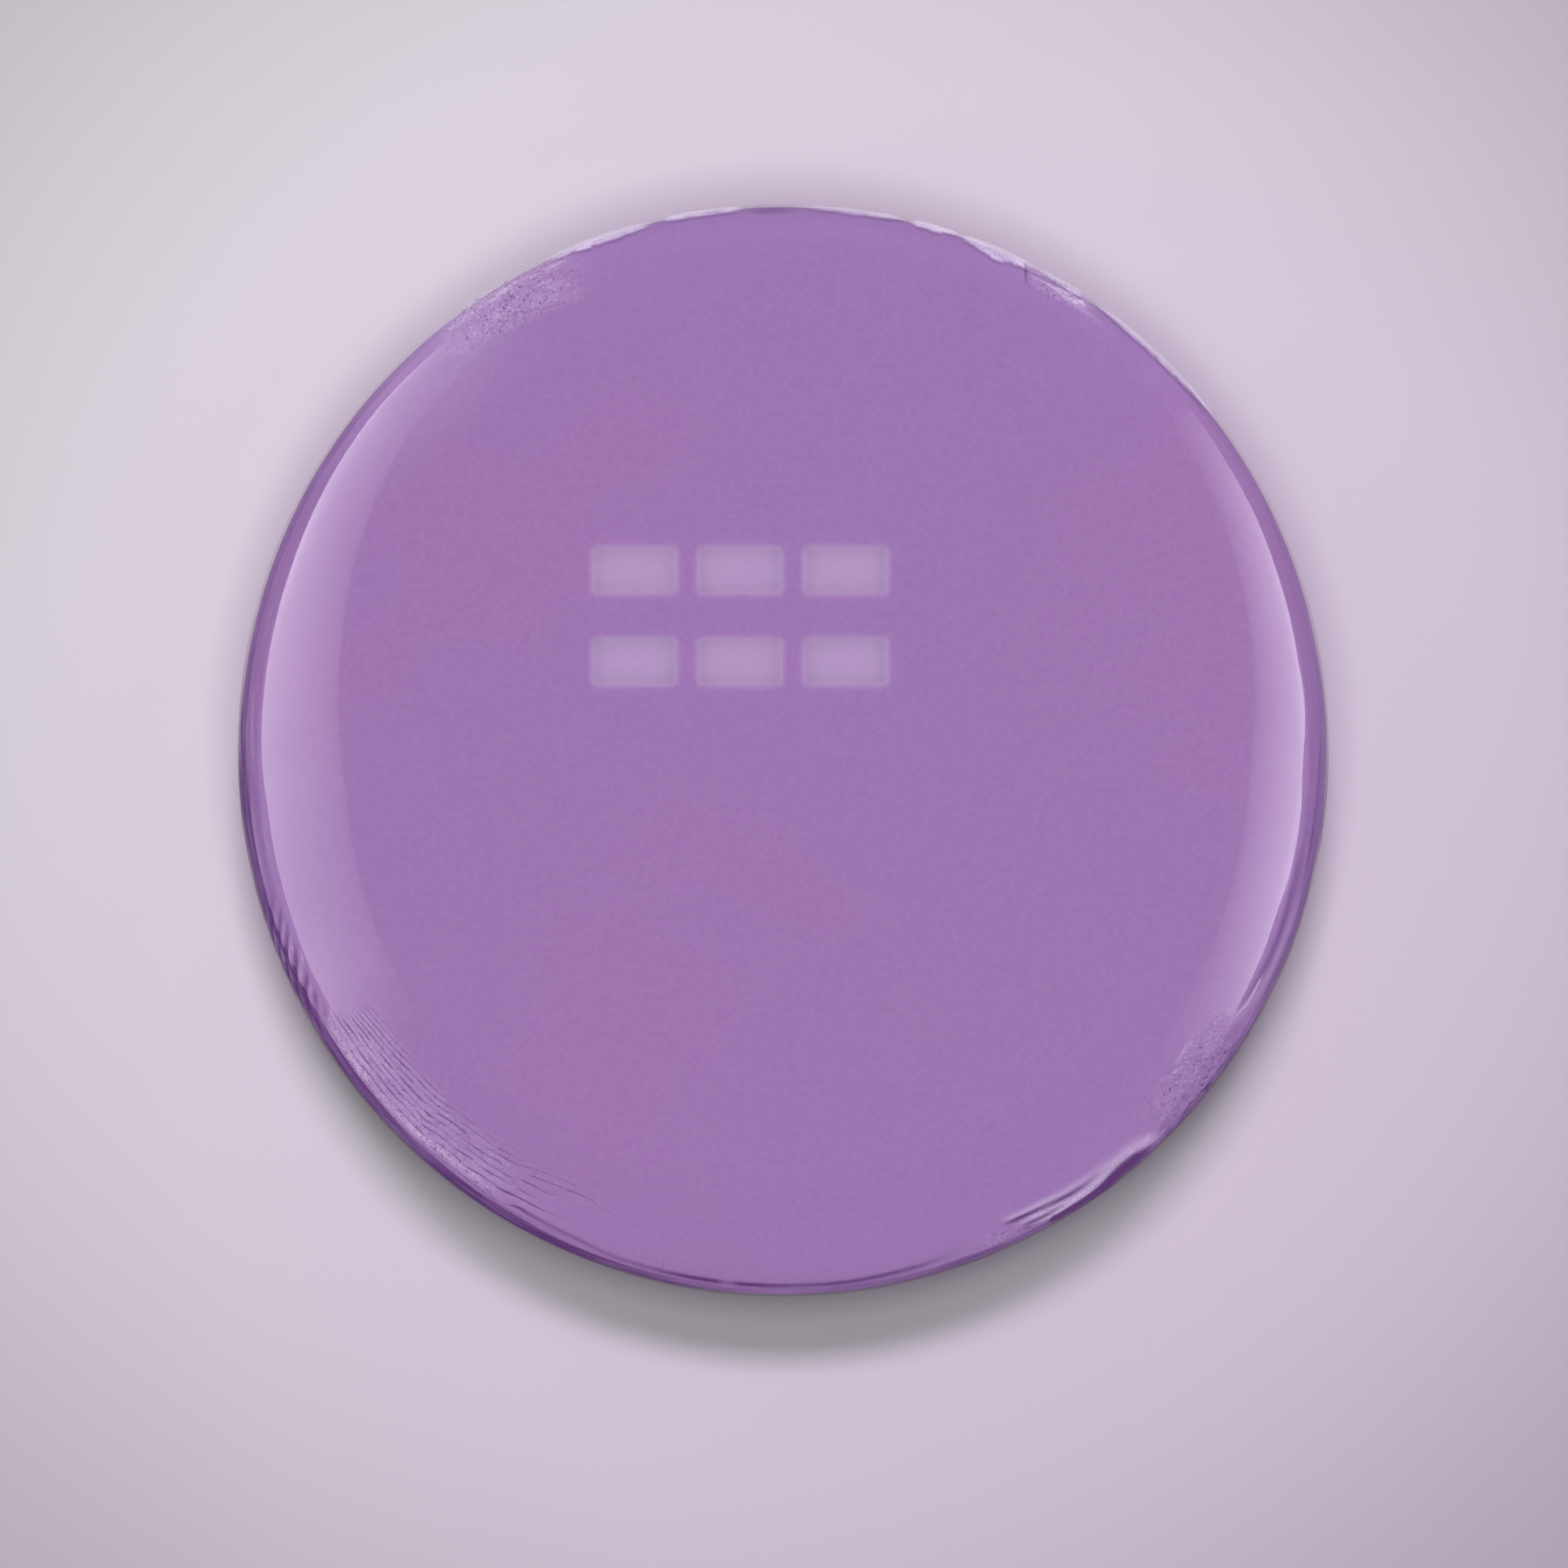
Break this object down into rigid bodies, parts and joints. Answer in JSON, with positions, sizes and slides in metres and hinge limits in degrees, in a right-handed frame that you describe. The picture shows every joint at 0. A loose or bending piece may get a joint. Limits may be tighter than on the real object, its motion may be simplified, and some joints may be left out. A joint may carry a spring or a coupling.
{
  "type": "shaving soap puck",
  "caption": "Round cake of translucent purple shaving soap with soft shoulders, sealed in clear crinkled shrink film, with a blank round label on its back.",
  "frame": {"origin": "centre of the underside, on the surface the puck lies on", "axes": "+Z up through the face; +X to the right and +Y up as the face is looked at"},
  "size_m": [0.071, 0.071, 0.0221],
  "materials": {
    "soap": "translucent cast soap, satin, purple",
    "film": "clear glossy shrink film with crinkles",
    "film_weld": "clear glossy film, thickened and slightly hazy where it is welded and bunched",
    "label_paper": "uncoated off-white paper"
  },
  "bodies": {
    "root": {"soap_puck": "soap", "film_front": "film", "film_back": "film", "film_seam": "film_weld", "back_label": "label_paper"}
  },
  "joints": []
}
